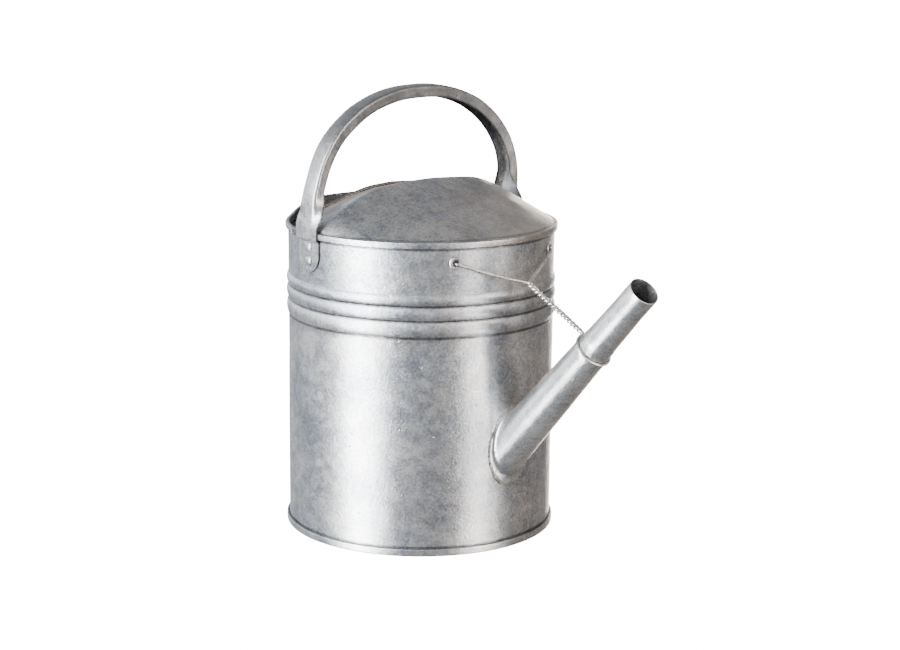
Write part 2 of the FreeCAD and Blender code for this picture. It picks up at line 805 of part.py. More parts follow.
def make_brace():
    """Wire from eyelet to eyelet: two arms, a twist, a loop round the spout."""
    joint, axis = spout_frame()
    wire = num("wire_radius")
    rope = num("rope_radius")
    fork = V(num("fork_x"), 0, num("fork_z"))
    upward = V(-axis.z, 0, axis.x)
    plug = num("tube_end") - num("tube_wall") - num("nozzle_fit")
    loop = plug + num("ring_clear") + wire
    centre = joint + axis * (num("tube_length") + wire)
    ring = Part.makeTorus(loop, wire, centre, axis)
    crown = centre + upward * loop
    pieces = [ring, rod(fork, crown, rope), Part.makeSphere(rope, fork)]
    for side in (-1, 1):
        turn = math.radians(side * num("eyelet_angle"))
        out = V(math.cos(turn), math.sin(turn), 0)
        level = V(0, 0, num("eyelet_height"))
        bend = level + out * (num("body_radius") + num("eyelet_proud")
                              + wire + 0.15)
        back = level + out * (num("body_radius") - num("wall")
                              - num("eyelet_sheet") - wire - 0.1)
        low = back - V(0, 0, num("hook_length"))
        pieces += [rod(fork, bend, wire), rod(bend, back, wire),
                   rod(back, low, wire), Part.makeSphere(wire, bend),
                   Part.makeSphere(wire, back)]
    return feature("wire_brace", pieces[0].fuse(pieces[1:]).removeSplitter())


# ---------------------------------------------------------------- build

tube, solder, tube_bore = make_spout()
nodes = [make_base(), make_shell(tube_bore), make_hood(), make_handle(), tube,
         solder, make_nozzle(), make_brace()]
nodes += make_rivets() + make_eyelets()
doc.recompute()

for item in doc.Objects:
    if "Invalid" in item.State or "Error" in item.State:
        raise RuntimeError("%s did not compute: %s" % (item.Name, item.State))
for node in nodes:
    shape = node.Shape
    if shape.isNull() or not shape.isValid():
        raise RuntimeError("%s has no valid shape" % node.Label)
    if len(shape.Solids) != 1:
        raise RuntimeError("%s has %d solids" % (node.Label, len(shape.Solids)))

os.makedirs("parts", exist_ok=True)
for node in nodes:
    node.Shape.exportStep("parts/%s.step" % node.Label)
    print("%-18s %10.0f mm3" % (node.Label, node.Shape.Volume))
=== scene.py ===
import math

import bmesh
import bpy
import numpy as np
from mathutils import Matrix, Vector


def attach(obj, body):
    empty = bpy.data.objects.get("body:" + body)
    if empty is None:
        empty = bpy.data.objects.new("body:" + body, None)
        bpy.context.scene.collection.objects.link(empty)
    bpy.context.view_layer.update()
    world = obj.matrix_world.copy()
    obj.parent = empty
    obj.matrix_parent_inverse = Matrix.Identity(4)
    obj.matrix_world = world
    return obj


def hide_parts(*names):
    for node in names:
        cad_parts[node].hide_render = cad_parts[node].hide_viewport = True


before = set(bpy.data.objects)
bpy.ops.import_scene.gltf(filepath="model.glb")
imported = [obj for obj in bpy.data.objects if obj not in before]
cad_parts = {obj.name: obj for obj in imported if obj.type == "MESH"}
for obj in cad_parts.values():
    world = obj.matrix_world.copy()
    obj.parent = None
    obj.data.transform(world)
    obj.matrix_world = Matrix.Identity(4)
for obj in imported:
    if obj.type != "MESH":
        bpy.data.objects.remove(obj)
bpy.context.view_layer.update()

# Galvanised watering can.  Shapes are worked out in millimetres in the frame
# of the design: +Z up, spout towards +X, handle across along Y.

MM = 0.001
JOIN = 0.000004
BODY_R, SHEET = 110.0, 0.8
SHELL_TOP, RIM_LEVEL, RIM_BAND, RIM_PROUD = 253.3, 254.4, 5.4, 2.3
HOOD_REACH = math.radians(110.5)
BEADS = (178.0, 191.3, 203.0, 212.5)
BEAD_PROUD = 1.6
CREST_X, HEM_X, HOOD_R = 6.0, -38.0, 109.3
FRONT_FALL, HEM_RISE = 0.339, 25.0
HANDLE_X, SPAN, SPRING, TOP = -8.0, 112.4, 270.0, 364.8
LUG_X, LUG_LOW, LUG_HALF, LUG_STEP = -12.0, 221.5, 15.0, 2.5
LUG_FACE, LUG_OUT = 111.23, 2.42
STRAP, STRAP_START = 1.2, 256.0
STRAP_FLAT, STRAP_BEND, TURNED_EDGE, EDGE_TURN = 6.5, 2.2, 7.3, 96.0
JOINT = np.array([110.0, 0.0, 85.0])
RISE = math.radians(46.8)
AXIS = np.array([math.cos(RISE), 0.0, math.sin(RISE)])
UP = np.array([-math.sin(RISE), 0.0, math.cos(RISE)])
SIDE = np.array([0.0, 1.0, 0.0])
TUBE_LENGTH, TUBE_END, TAPER, TUBE_SHEET = 128.0, 13.9, 0.032, 0.7
FLANGE, FLANGE_SHEET, FILLET = 3.0, 0.9, 2.4
NOZZLE_FIT, NOZZLE_SEAT, NOZZLE_LENGTH = 0.08, 12, 74.8
NOZZLE_TIP, NOZZLE_BORE, NOZZLE_STRAIGHT = 12.15, 11.45, 24
WIRE, FORK = 1.15, np.array([126.3, 0.0, 220.2])
EYELET_TURN, EYELET_Z, EYELET_HOLE = math.radians(27.6), 237.8, 3.3


# ------------------------------------------------------------------ numbers


def fade(x):
    """Smooth step from 0 to 1 over 0..1: 3x^2 - 2x^3."""
    x = np.clip(x, 0.0, 1.0)
    return x * x * (3 - 2 * x)


def table(pairs, x):
    """Smooth monotone cubic through (x, value) pairs (harmonic-mean slopes)."""
    xs, ys = np.array(pairs).T
    step = np.diff(ys) / np.diff(xs)
    left, right = np.r_[step[0], step], np.r_[step, step[-1]]
    both = left * right
    slope = np.where(both > 0, 2 * both / np.where(both > 0, left + right, 1), 0)
    x = np.clip(x, xs[0], xs[-1])
    k = np.clip(np.searchsorted(xs, x) - 1, 0, len(xs) - 2)
    h = xs[k + 1] - xs[k]
    t = (x - xs[k]) / h
    return ((2 * t ** 3 - 3 * t ** 2 + 1) * ys[k]
            + (t ** 3 - 2 * t ** 2 + t) * h * slope[k]
            + (3 * t ** 2 - 2 * t ** 3) * ys[k + 1]
            + (t ** 3 - t ** 2) * h * slope[k + 1])


def ripple(points, length, seed, waves=28):
    """Soft noise of about -1..1: a sum of cosine waves in random directions."""
    draw = np.random.default_rng(seed)
    way = draw.normal(size=(waves, 3))
    way /= np.linalg.norm(way, axis=1)[:, None]
    way *= 2 * math.pi / (length * draw.uniform(0.7, 1.6, waves))[:, None]
    phase = draw.uniform(0, 2 * math.pi, waves)
    return np.cos(points @ way.T + phase).sum(axis=-1) / math.sqrt(waves)


# ------------------------------------------------------------------ meshes


def loops(rows, cols, offset=0, wrap_rows=False):
    """Quads of a grid whose columns close on themselves."""
    i = np.arange(rows if wrap_rows else rows - 1)[:, None]
    j = np.arange(cols)[None, :]
    i2, j2 = (i + 1) % rows, (j + 1) % cols
    quads = np.stack(np.broadcast_arrays(i * cols + j, i * cols + j2,
                                         i2 * cols + j2, i2 * cols + j), axis=-1)
    return quads.reshape(-1, 4) + offset


def caps(rows, cols, offset=0):
    """Quads that close both ends of a flat tube: opposite columns are joined."""
    half = cols // 2
    j = np.arange(half - 1)
    ends = []
    for start in (0, (rows - 1) * cols):
        a = start + j
        b = start + cols - 1 - j
        ends.append(np.stack([a, a + 1, b - 1, b], axis=-1))
    return np.concatenate(ends) + offset


def make_piece(name, points, quads, material, nodes, sharp=38.0, edge=None):
    """Mesh object from millimetre points, closed, facing outwards, smooth."""
    mesh = bpy.data.meshes.new(name)
    points = np.asarray(points, float).reshape(-1, 3)
    mesh.from_pydata((points * MM).tolist(), [], np.asarray(quads).tolist())
    if edge is not None:
        mesh.attributes.new("edge", "FLOAT", "POINT").data.foreach_set(
            "value", np.ascontiguousarray(edge, np.float32).ravel())
    work = bmesh.new()
    work.from_mesh(mesh)
    bmesh.ops.remove_doubles(work, verts=work.verts, dist=JOIN)
    bmesh.ops.dissolve_degenerate(work, edges=work.edges, dist=JOIN / 2)
    bmesh.ops.recalc_face_normals(work, faces=work.faces)
    work.to_mesh(mesh)
    work.free()
    return finish_piece(name, mesh, material, nodes, sharp)


def finish_piece(name, mesh, material, nodes, sharp=38.0):
    """Smooth-shaded object from a mesh: on the body and finish."""
    mesh.polygons.foreach_set("use_smooth", [True] * len(mesh.polygons))
    mesh.set_sharp_from_angle(angle=math.radians(sharp))
    piece = bpy.data.objects.new(name, mesh)
    bpy.context.scene.collection.objects.link(piece)
    piece.data.materials.append(material)
    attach(piece, "root")
    if nodes:
        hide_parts(*nodes)
    return piece


def turned(profile, sides, start=0.0, sweep=2 * math.pi):
    """Profile (r, z) carried round Z: point = (r cos a, r sin a, z)."""
    closed = sweep >= 2 * math.pi
    a = start + np.linspace(0, sweep, sides, endpoint=not closed)
    r, z = np.asarray(profile, float).T
    points = np.stack([np.cos(a)[:, None] * r, np.sin(a)[:, None] * r,
                       np.ones_like(a)[:, None] * z], axis=-1)
    return points


def rounded(corners, radius, count=4):
    """Closed profile with each corner replaced by an arc-like curve."""
    corners = np.asarray(corners, float)
    out = []
    for k, corner in enumerate(corners):
        before, after = corners[k - 1], corners[(k + 1) % len(corners)]
        cut = min(radius, 0.45 * np.linalg.norm(before - corner),
                  0.45 * np.linalg.norm(after - corner))
        a = corner + (before - corner) * cut / np.linalg.norm(before - corner)
        b = corner + (after - corner) * cut / np.linalg.norm(after - corner)
        t = np.linspace(0, 1, count)[:, None]
        out.append((1 - t) ** 2 * a + 2 * t * (1 - t) * corner + t ** 2 * b)
    return np.concatenate(out)


def wire_mesh(name, points, radius, closed=False, sides=6):
    """Round wire along a dense line of points, as a mesh."""
    curve = bpy.data.curves.new(name, "CURVE")
    curve.dimensions = "3D"
    curve.bevel_depth = radius * MM
    curve.bevel_resolution = sides
    curve.use_fill_caps = not closed
    spline = curve.splines.new("POLY")
    spline.points.add(len(points) - 1)
    four = np.c_[np.asarray(points) * MM, np.ones(len(points))]
    spline.points.foreach_set("co", four.ravel())
    spline.use_cyclic_u = closed
    holder = bpy.data.objects.new(name, curve)
    bpy.context.scene.collection.objects.link(holder)
    bpy.context.view_layer.update()
    mesh = bpy.data.meshes.new_from_object(holder)
    bpy.data.objects.remove(holder)
    bpy.data.curves.remove(curve)
    return mesh


def smooth_line(points, count):
    """Catmull-Rom curve through points, count steps between each two."""
    p = np.asarray(points, float)
    p = np.vstack([2 * p[0] - p[1], p, 2 * p[-1] - p[-2]])
    t = np.linspace(0, 1, count, endpoint=False)[:, None, None]
    a, b, c, d = p[:-3], p[1:-2], p[2:-1], p[3:]
    run = 0.5 * (2 * b + (c - a) * t + (2 * a - 5 * b + 4 * c - d) * t ** 2
                 + (3 * b - a - 3 * c + d) * t ** 3)
    return np.vstack([run.transpose(1, 0, 2).reshape(-1, 3), p[-2]])


# ------------------------------------------------------------------ materials


def linear(hexa):
    """sRGB hex colour to linear RGBA."""
    parts = [int(hexa[k:k + 2], 16) / 255 for k in (1, 3, 5)]
    return tuple(c / 12.92 if c <= 0.04045 else ((c + 0.055) / 1.055) ** 2.4
                 for c in parts) + (1.0,)


def node(tree, kind, inputs, out=0, stops=(), **settings):
    """Adds one node with its settings and links, and returns one of its outputs.
    Inputs go by place or name: a value, or another node's output.  Stops are
    the places and shades of a colour ramp."""
    item = tree.nodes.new(kind)
    for key, value in settings.items():
        setattr(item, key, value)
    for key, value in inputs.items():
        if isinstance(value, bpy.types.NodeSocket):
            tree.links.new(value, item.inputs[key])
        else:
            item.inputs[key].default_value = value
    if stops:
        marks = item.color_ramp.elements
        while len(marks) < len(stops):
            marks.new(0.5)
        for mark, (at, shade) in zip(marks, stops):
            mark.position = at
            mark.color = linear(shade) if isinstance(shade, str) else (
                shade, shade, shade, 1.0)
    return item.outputs[out]


MATH, RAMP, MIX = "ShaderNodeMath", "ShaderNodeValToRGB", "ShaderNodeMix"
NOISE, CELLS = "ShaderNodeTexNoise", "ShaderNodeTexVoronoi"
VECTOR, MOVE = "ShaderNodeVectorMath", "ShaderNodeMapping"
SPLIT, RANGE = "ShaderNodeSeparateColor", "ShaderNodeMapRange"


def weathered_zinc(name, dark, light, pit="#4b4e53", stain="#7d7264", rough=0.36,
                   warm=0.25, spots=1.0, seam_grime_and_shade=(), grain=1.0, stains_and_painted_light=(), edge_shade=0.0):
    """Hot-dip galvanised sheet after years outdoors.

    Zinc freezes in crystals a few millimetres across, then dulls to a sandy
    grey skin, bluish where it is dark, with small dark pits and faint brown
    stains; the shine stays soft.  Tints towards one side of the piece hold stains,
    painted reflection and painted shade: direction, start and end in millimetres,
    colour and strength.
    """
    material = bpy.data.materials.new(name)
    material.use_nodes = True
    tree = material.node_tree
    shader = tree.nodes["Principled BSDF"]
    place = node(tree, "ShaderNodeTexCoord", {}, "Object")

    # clouds 42 mm and clumps 8 mm across; the sandy grain of about 1 mm is drawn
    # at 2 mm, as coarse as it needs to be to show
    layers = []
    for size, detail, rugged, shift in ((42.0, 4.0, 0.6, 0.0), (8.0, 4.0, 0.62, 0.31),
                                        (2.0, 3.0, 0.75, 0.77), (26.0, 5.0, 0.6, 0.13)):
        moved = node(tree, MOVE, {"Vector": place,
                                  "Location": (shift, shift * 1.7, shift * 0.6)})
        layers.append(node(tree, NOISE, {"Vector": moved, "Scale": 1000.0 / size,
                                         "Detail": detail, "Roughness": rugged}, "Fac"))
    cloud, clump, sand, drift = layers
    bent = node(tree, NOISE, {"Vector": place, "Scale": 160.0, "Detail": 2.0}, "Color")
    wobble = node(tree, VECTOR, {0: bent, 1: (0.005, 0.005, 0.005), 2: place},
                  operation="MULTIPLY_ADD")
    crystal = node(tree, CELLS, {"Vector": wobble, "Scale": 1000.0 / 5.5}, "Color")
    crystal = node(tree, SPLIT, {"Color": crystal})
    tone = node(tree, MATH, {0: cloud, 1: 0.46}, operation="MULTIPLY")
    for layer, share in ((clump, 0.20), (crystal, 0.05), (sand, 0.60 * grain)):
        tone = node(tree, MATH, {0: layer, 1: share, 2: tone},
                    operation="MULTIPLY_ADD")
    middle = 0.5 * (0.46 + 0.20 + 0.05 + 0.60 * grain)
    colour = node(tree, RAMP, {"Fac": tone},
                  stops=[(middle - 0.13, dark), (middle + 0.12, light)])

    # brown film in soft patches, then the one-sided tints: stains, painted reflection
    # and painted shade
    film = node(tree, RAMP, {"Fac": drift}, stops=[(0.50, 0.0), (0.72, warm)])
    colour = node(tree, MIX, {0: film, 6: colour, 7: linear(stain)}, 2,
                  data_type="RGBA")
    for direction, start, end, shade, strength in stains_and_painted_light:
        along = node(tree, VECTOR, {0: place, 1: direction}, "Value",
                     operation="DOT_PRODUCT")
        along = node(tree, MATH, {0: drift, 1: 0.05, 2: along},
                     operation="MULTIPLY_ADD")
        reach = node(tree, RANGE, {"Value": along, "From Min": start * MM + 0.025,
                                     "From Max": end * MM + 0.025,
                                     "To Max": strength},
                     interpolation_type="SMOOTHSTEP")
        colour = node(tree, MIX, {0: reach, 6: colour, 7: linear(shade)}, 2,
                      data_type="RGBA")

    # round pits of 1 to 2.5 mm, some with a pale ring, and finer specks
    cells = node(tree, CELLS, {"Vector": wobble, "Scale": 1000.0 / 10.0}, "Distance")
    chance = node(tree, SPLIT, {"Color": cells.node.outputs["Color"]}).node.outputs
    present = node(tree, MATH, {0: chance[1], 1: 0.62}, operation="GREATER_THAN")
    size = node(tree, MATH, {0: chance[2], 1: 0.09, 2: 0.045},
                operation="MULTIPLY_ADD")
    dot = node(tree, MATH, {0: cells, 1: size}, operation="DIVIDE")
    pits = node(tree, RAMP, {"Fac": dot}, stops=[(0.55, 1.0), (1.0, 0.0)])
    pits = node(tree, MATH, {0: pits, 1: present}, operation="MULTIPLY")
    ring = node(tree, MATH, {0: dot, 1: 0.4}, operation="MULTIPLY")
    ring = node(tree, RAMP, {"Fac": ring},
                stops=[(0.36, 0.0), (0.46, 1.0), (0.62, 0.0)])
    ring = node(tree, MATH, {0: ring, 1: present}, operation="MULTIPLY")
    specks = node(tree, CELLS, {"Vector": place, "Scale": 1000.0 / 3.0}, "Distance")
    specks = node(tree, RAMP, {"Fac": specks}, stops=[(0.10, 1.0), (0.22, 0.0)])
    crowd = node(tree, RAMP, {"Fac": clump}, stops=[(0.46, 0.0), (0.60, 1.0)])
    specks = node(tree, MATH, {0: specks, 1: crowd}, operation="MULTIPLY")
    for mask, share, shade in ((ring, 0.32, "#c9ccd0"), (pits, 0.55, pit),
                               (specks, 0.42, pit)):
        mask = node(tree, MATH, {0: mask, 1: share * spots}, operation="MULTIPLY")
        colour = node(tree, MIX, {0: mask, 6: colour, 7: linear(shade)}, 2,
                      data_type="RGBA")

    # painted shade and grime along the seams and grooves: height, half width and
    # strength of each
    height = node(tree, "ShaderNodeSeparateXYZ", {"Vector": place}, 2)
    for level, width, strength in seam_grime_and_shade:
        away = node(tree, MATH, {0: height, 1: level * MM}, operation="SUBTRACT")
        away = node(tree, MATH, {0: away}, operation="ABSOLUTE")
        line = node(tree, RANGE, {"Value": away, "From Min": 0.35 * width * MM,
                                    "From Max": width * MM, "To Min": strength,
                                    "To Max": 0.0})
        soft = node(tree, RAMP, {"Fac": clump}, stops=[(0.30, 0.60), (0.60, 1.0)])
        line = node(tree, MATH, {0: line, 1: soft}, operation="MULTIPLY")
        colour = node(tree, MIX, {0: line, 6: colour, 7: linear("#34332f")}, 2,
                      data_type="RGBA")

    # painted shade along bends and cut edges, where the piece says it has them
    if edge_shade:
        edge = node(tree, "ShaderNodeAttribute", {}, "Fac", attribute_name="edge")
        edge = node(tree, MATH, {0: edge, 1: edge_shade}, operation="MULTIPLY")
        colour = node(tree, MIX, {0: edge, 6: colour, 7: linear("#3c3b39")}, 2,
                      data_type="RGBA")

    tree.links.new(colour, shader.inputs["Base Color"])
    shader.inputs["Metallic"].default_value = 1.0
    dull = node(tree, MATH, {0: clump, 1: 0.14, 2: rough - 0.07},
                operation="MULTIPLY_ADD")
    for layer, share in ((crystal, 0.05), (pits, 0.25)):
        dull = node(tree, MATH, {0: layer, 1: share, 2: dull},
                    operation="MULTIPLY_ADD")
    tree.links.new(dull, shader.inputs["Roughness"])
    relief = node(tree, MATH, {0: clump, 1: 0.55}, operation="MULTIPLY")
    for layer, share in ((sand, 0.62 * grain), (pits, -0.6)):
        relief = node(tree, MATH, {0: layer, 1: share, 2: relief},
                      operation="MULTIPLY_ADD")
    bump = node(tree, "ShaderNodeBump", {"Height": relief, "Strength": 0.6,
                                         "Distance": 0.0006})
    tree.links.new(bump, shader.inputs["Normal"])
    return material


BODY_ZINC = weathered_zinc(
    "hot-dip galvanised steel sheet, body", "#858c99", "#c7c7c6",
    # painted shade and grime: dark lines at the foot seam, the grooves and under the
    # rim
    seam_grime_and_shade=((6.9, 1.5, 0.7), (178.0, 1.7, 0.85), (191.3, 1.5, 0.9), (203.0, 1.5, 0.9),
           (248.2, 1.4, 0.8)))
HOOD_ZINC = weathered_zinc(
    "hot-dip galvanised steel sheet, hood", "#838b99", "#c2c2c0", warm=0.3,
    spots=1.35, grain=1.2, seam_grime_and_shade=((248.9, 0.9, 0.85), (254.9, 0.8, 0.5)),
    # painted reflection: a pale warm tint that grows towards the camera's right across
    # the hood
    stains_and_painted_light=(((0.674, 0.739, 0.0), 5.0, 95.0, "#a99c8c", 0.40),
           # rust and painted shade: dark brown over the back slope behind the crest
           ((-1.0, 0.0, 0.0), -6.0, 12.0, "#6b6055", 0.75)))
STRAP_ZINC = weathered_zinc(
    "hot-dip galvanised steel strap", "#8b8f96", "#c6c6c5", warm=0.3, rough=0.40,
    # darker towards the top of the handle, from 285 to 345 mm up
    # painted shade on the strap's cut edges and bends
    edge_shade=0.75, stains_and_painted_light=(((0.0, 0.0, 1.0), 285.0, 345.0, "#66676a", 0.62),))
SPOUT_ZINC = weathered_zinc(
    "hot-dip galvanised steel sheet, spout", "#9ba0a8", "#d8d8d6", rough=0.34)
SOLDER_TIN = weathered_zinc(
    "tin-lead solder, brushed on", "#7b7c7d", "#c2c3c2", rough=0.45, grain=1.8)
WIRE_ZINC = weathered_zinc(
    "galvanised tie wire", "#8f8c85", "#dad9d5", warm=0.35, rough=0.34)
RIVET_STEEL = weathered_zinc(
    "drawn steel rivets and eyelets", "#9c9da0", "#d4d5d7", rough=0.33, spots=0.6)


# ------------------------------------------------------------------ camera, light

FORWARD = Vector((-0.72188, 0.65784, -0.21479)).normalized()
RIGHT = Vector((0.67356, 0.73913, 0.0)).normalized()
ROLL = 0.010517
PLACE, LENS_MM = (1.23578, -1.09332, 0.52812), 80.97
above = RIGHT.cross(FORWARD)
right = RIGHT * math.cos(ROLL) + above * math.sin(ROLL)
above = above * math.cos(ROLL) - RIGHT * math.sin(ROLL)
camera_data = bpy.data.cameras.new("camera")
camera_data.sensor_width = 36.0
camera_data.lens = LENS_MM
camera = bpy.data.objects.new("camera", camera_data)
camera.matrix_world = Matrix((
    (right.x, above.x, -FORWARD.x, PLACE[0]),
    (right.y, above.y, -FORWARD.y, PLACE[1]),
    (right.z, above.z, -FORWARD.z, PLACE[2]),
    (0, 0, 0, 1)))
bpy.context.scene.collection.objects.link(camera)
bpy.context.scene.camera = camera

CAMERA_TURN = -41.5


def softbox(name, turn, distance, width, height, centre_z, power, colour="#ffffff"):
    """Upright rectangular light facing the can; turn is from the camera's side."""
    data = bpy.data.lights.new(name, "AREA")
    data.shape = "RECTANGLE"
    data.size, data.size_y = width, height
    data.energy = power
    data.color = linear(colour)[:3]
    lamp = bpy.data.objects.new(name, data)
    angle = math.radians(CAMERA_TURN + turn)
    place = Vector((math.cos(angle) * distance, math.sin(angle) * distance, centre_z))
    lamp.location = place
    aim = Vector((0, 0, centre_z)) - place
    lamp.rotation_euler = aim.to_track_quat("-Z", "Y").to_euler()
    lamp.visible_camera = False
    bpy.context.scene.collection.objects.link(lamp)


softbox("tall softbox, left", -51, 2.2, 0.60, 3.4, 0.25, 430)
softbox("tall softbox, right", 51, 2.2, 0.30, 3.4, 0.25, 120, "#fff6ee")
softbox("back wall, right", 166, 2.6, 0.8, 1.8, -0.35, 69, "#fff4ea")

# Studio surroundings: how bright each direction is, against the turn from the
# camera's side (-180..180 as 0..1), for three heights above the horizon.
LOW = [(0.0, 0.70), (0.22, 0.80), (0.33, 0.60), (0.50, 0.40), (0.66, 0.40),
       (0.78, 0.30), (0.88, 0.44), (1.0, 0.70)]
LEVEL = [(0.0, 0.60), (0.07, 2.2), (0.12, 3.6), (0.22, 3.6), (0.38, 1.4),
         (0.55, 0.7), (0.70, 0.5), (0.85, 0.38), (1.0, 0.60)]
HIGH = [(0.0, 0.56), (0.30, 0.50), (0.55, 0.56), (0.80, 0.78), (1.0, 0.56)]
BRIGHT = 4.0

world = bpy.data.worlds.new("studio")
bpy.context.scene.world = world
world.use_nodes = True
sky = world.node_tree
backdrop = sky.nodes["Background"]
way = node(sky, "ShaderNodeTexCoord", {}, "Generated")
axes = node(sky, "ShaderNodeSeparateXYZ", {"Vector": way}).node.outputs
turn_from = node(sky, MATH, {0: axes[1], 1: axes[0]}, operation="ARCTAN2")
turn_from = node(sky, MATH, {0: turn_from, 1: math.radians(CAMERA_TURN - 180)},
                 operation="SUBTRACT")
turn_from = node(sky, MATH, {0: turn_from, 1: 2 * math.pi}, operation="DIVIDE")
turn_from = node(sky, MATH, {0: turn_from}, operation="FRACT")
bands = [node(sky, RAMP, {"Fac": turn_from},
              stops=[(place, value / BRIGHT) for place, value in stops])
         for stops in (LOW, LEVEL, HIGH)]
half_up = node(sky, MATH, {0: axes[2], 1: 0.5}, operation="ADD")
lower = node(sky, RAMP, {"Fac": half_up}, stops=[(0.40, 0.0), (0.53, 1.0)])
upper = node(sky, RAMP, {"Fac": axes[2]}, stops=[(0.15, 0.0), (0.62, 1.0)])
glow = node(sky, MIX, {0: lower, 6: bands[0], 7: bands[1]}, 2, data_type="RGBA")
glow = node(sky, MIX, {0: upper, 6: glow, 7: bands[2]}, 2, data_type="RGBA")
side = node(sky, RAMP, {"Fac": turn_from}, stops=[(0.45, 0.0), (0.80, 1.0), (1.0, 0.3)])
tint = node(sky, MIX, {0: side, 6: linear("#f3f8ff"), 7: linear("#fff0e2")}, 2,
            data_type="RGBA")
glow = node(sky, MIX, {0: 1.0, 6: glow, 7: tint}, 2, data_type="RGBA",
            blend_type="MULTIPLY")
sky.links.new(glow, backdrop.inputs["Color"])
backdrop.inputs["Strength"].default_value = BRIGHT
white = node(sky, "ShaderNodeBackground", {"Color": (1, 1, 1, 1), "Strength": 18.0})
seen = node(sky, "ShaderNodeLightPath", {}, "Is Camera Ray")
pick = node(sky, "ShaderNodeMixShader", {0: seen, 1: backdrop.outputs[0], 2: white})
sky.links.new(pick, sky.nodes["World Output"].inputs["Surface"])

floor_mesh = bpy.data.meshes.new("floor")
floor_mesh.from_pydata([(-14, -14, 0), (14, -14, 0), (14, 14, 0), (-14, 14, 0)], [],
                       [(0, 1, 2, 3)])
floor = bpy.data.objects.new("floor", floor_mesh)
bpy.context.scene.collection.objects.link(floor)
paper = bpy.data.materials.new("matt white paper")
paper.use_nodes = True
sheet = paper.node_tree.nodes["Principled BSDF"]
sheet.inputs["Base Color"].default_value = (0.9, 0.9, 0.9, 1)
sheet.inputs["Roughness"].default_value = 0.9
sheet.inputs["Emission Color"].default_value = (1, 1, 1, 1)
sheet.inputs["Emission Strength"].default_value = 17.0
floor_mesh.materials.append(paper)
floor.visible_glossy = False


# ------------------------------------------------------------------ can body


def rim_height(turn):
    """Top of the rolled rim: raised at the back, fading to level at the sides."""
    back = np.abs(np.degrees(np.arctan2(np.sin(turn - math.pi),
                                        np.cos(turn - math.pi))))
    rise = 1 - fade((back - 10.0) / 32.0)
    side = 180.0 - back
    return SHELL_TOP + (RIM_LEVEL - SHELL_TOP) * fade((side - 110.5) / 3.0) + 8.6 * rise


def bead_swell(z):
    """Parabolic swelling over each of the three bands between the grooves."""
    swell = np.zeros_like(z)
    for low, high in zip(BEADS, BEADS[1:]):
        middle, half = (low + high) / 2, (high - low) / 2
        swell = np.maximum(swell, BEAD_PROUD * (1 - ((z - middle) / half) ** 2))
    return swell


def make_body():
    """Wall of one sheet: r = 110 + beads + lock seam + soft dents, at each
    angle and height; the rim is rolled outwards where the hood leaves it."""
    extra = math.pi + np.radians([-2.2, -1.95, -1.8, -1.6, 1.6, 1.8, 1.95, 2.2])
    turn = np.unique(np.r_[np.linspace(0, 2 * math.pi, 480, endpoint=False), extra])
    beads = np.concatenate([np.linspace(a, b, 10, endpoint=False)
                            for a, b in zip(BEADS, BEADS[1:])])
    low = np.r_[np.linspace(1.1, 178.0, 30, endpoint=False), beads,
                np.linspace(212.5, 244.0, 7)]
    z_out = np.broadcast_to(low, (len(turn), len(low)))
    r_out = BODY_R + bead_swell(z_out)
    seam = 1 - fade((np.abs(turn - math.pi) * BODY_R - 3.0) / 0.7)
    seam = seam[:, None] * fade((z_out - 6.5) / 1.0) * (1 - fade((z_out - 243) / 1))
    r_out = r_out + 0.7 * seam

    top = rim_height(turn)[:, None]
    rolled = fade((np.abs(turn - 0.0) - HOOD_REACH) / 0.01) * fade(
        (2 * math.pi - HOOD_REACH - turn) / 0.01)
    share = np.r_[0.0, 0.04, 0.12, 0.28, 0.5, 0.72, 0.88, 0.97, 1.0]
    puff = np.r_[0.0, 0.55, 0.85, 1.0, 1.0, 1.0, 0.86, 0.55, 0.2]
    z_roll = top - RIM_BAND * (1 - share)
    r_roll = BODY_R + RIM_PROUD * puff * rolled[:, None]
    inner = np.r_[np.linspace(244.0, 212.5, 5), beads[::-2],
                  np.linspace(177.0, 6.05, 22)]
    z_in = np.broadcast_to(inner, (len(turn), len(inner)))
    r_in = BODY_R - SHEET + bead_swell(z_in)
    z = np.concatenate([z_out, z_roll, top - 0.3 + 0 * top, top - 2.0 + 0 * top,
                        z_in], axis=1)
    r = np.concatenate([r_out, r_roll, 0 * top + BODY_R - SHEET,
                        0 * top + BODY_R - SHEET, r_in], axis=1)
    flat = np.stack([np.cos(turn)[:, None] * BODY_R + 0 * z,
                     np.sin(turn)[:, None] * BODY_R + 0 * z, z], axis=-1)
    calm = fade((z - 8) / 25) * (1 - fade((z - 232) / 14))
    dents = 0.16 * ripple(flat, 75.0, 11) + 0.05 * ripple(flat, 24.0, 12)
    r = r + calm * (dents - 0.12)
    points = np.stack([np.cos(turn)[:, None] * r, np.sin(turn)[:, None] * r, z],
                      axis=-1)
    rows, cols = z.shape
    piece = make_piece("body_wall", points, loops(rows, cols, wrap_rows=True),
                       BODY_ZINC, ["body_shell"], sharp=30)
    cut_opening(piece)
    return piece


